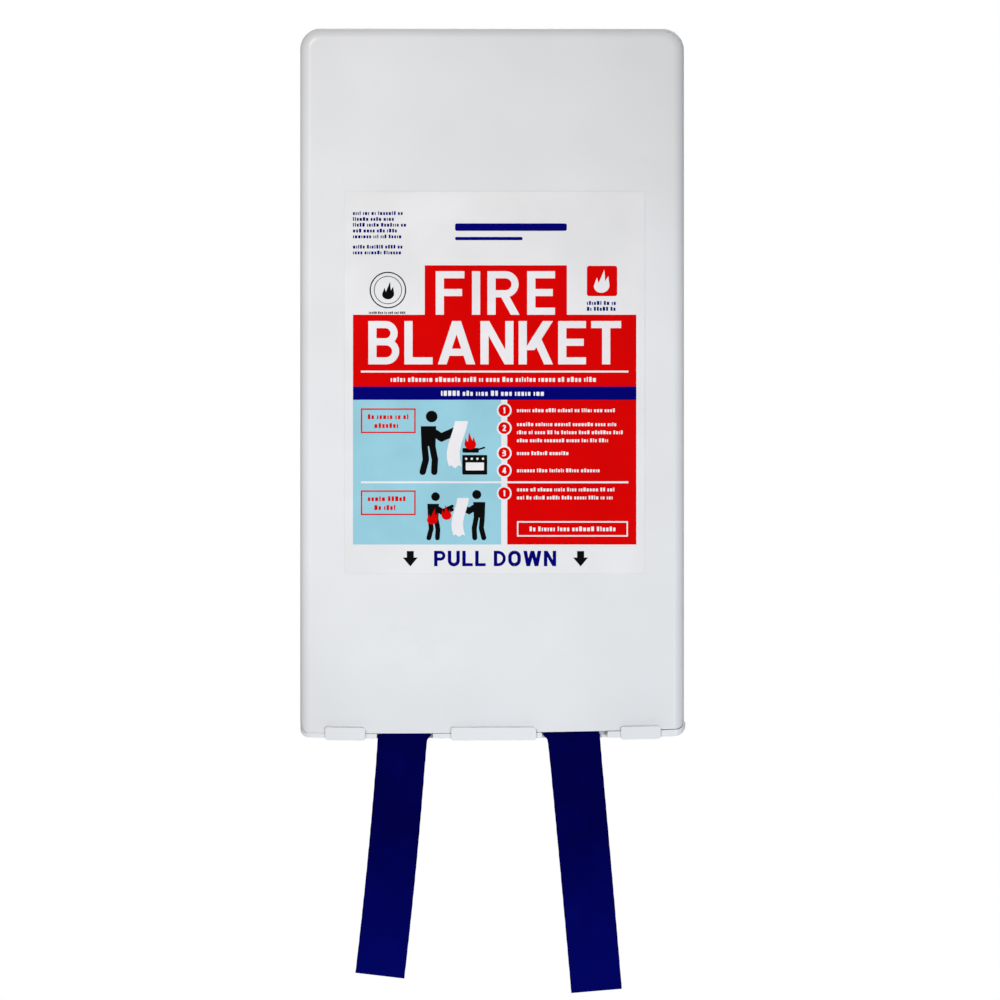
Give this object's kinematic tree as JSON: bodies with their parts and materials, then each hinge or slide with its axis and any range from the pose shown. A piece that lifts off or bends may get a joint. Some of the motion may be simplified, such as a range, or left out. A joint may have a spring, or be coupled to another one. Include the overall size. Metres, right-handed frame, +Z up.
{
  "type": "fire blanket",
  "caption": "Folded fire blanket hanging in a rigid white wall case, with a hinged bottom flap and two navy pull tapes.",
  "frame": {"origin": "middle of the flat back face of the case, on the wall plane", "axes": "+Z up, +Y into the wall, so the front of the case looks along -Y; +X to the right as seen from the front"},
  "size_m": [0.1658, 0.0419, 0.4139],
  "materials": {
    "case_plastic": "satin",
    "flap_plastic": "satin",
    "label_film": "satin",
    "glass_cloth": "matte",
    "navy_webbing": "matte",
    "navy_thread": "matte"
  },
  "bodies": {
    "case": {"front_cover": "case_plastic", "back_plate": "case_plastic", "living_hinge": "flap_plastic", "instruction_label": "label_film"},
    "flap": {"bottom_flap": "flap_plastic"},
    "blanket": {"folded_blanket": "glass_cloth", "left_tape_anchor": "navy_webbing", "left_tape_stitching": "navy_thread", "right_tape_anchor": "navy_webbing", "right_tape_stitching": "navy_thread"},
    "left_tape": {"left_pull_tape": "navy_webbing"},
    "right_tape": {"right_pull_tape": "navy_webbing"}
  },
  "joints": [
    {"name": "blanket_pull", "type": "slide", "parent": "case", "child": "blanket", "axis": [0, 0, -1], "range_m": [0, 0.06]},
    {"name": "flap_hinge", "type": "hinge", "parent": "case", "child": "flap", "pos_m": [0, -0.002, -0.151], "axis": [1, 0, 0], "range_deg": [0, 88], "deforming": ["living_hinge"]},
    {"name": "left_tape_swing", "type": "hinge", "parent": "blanket", "child": "left_tape", "pos_m": [-0.0385, -0.0373, -0.151], "axis": [-1, 0, 0], "range_deg": [-10, 80]},
    {"name": "right_tape_swing", "type": "hinge", "parent": "blanket", "child": "right_tape", "pos_m": [0.0347, -0.0373, -0.151], "axis": [-1, 0, 0], "range_deg": [-10, 80]}
  ],
  "couplings": [
    {"joint": "flap_hinge", "follows": "blanket_pull", "rad_per_m": 25.59}
  ]
}
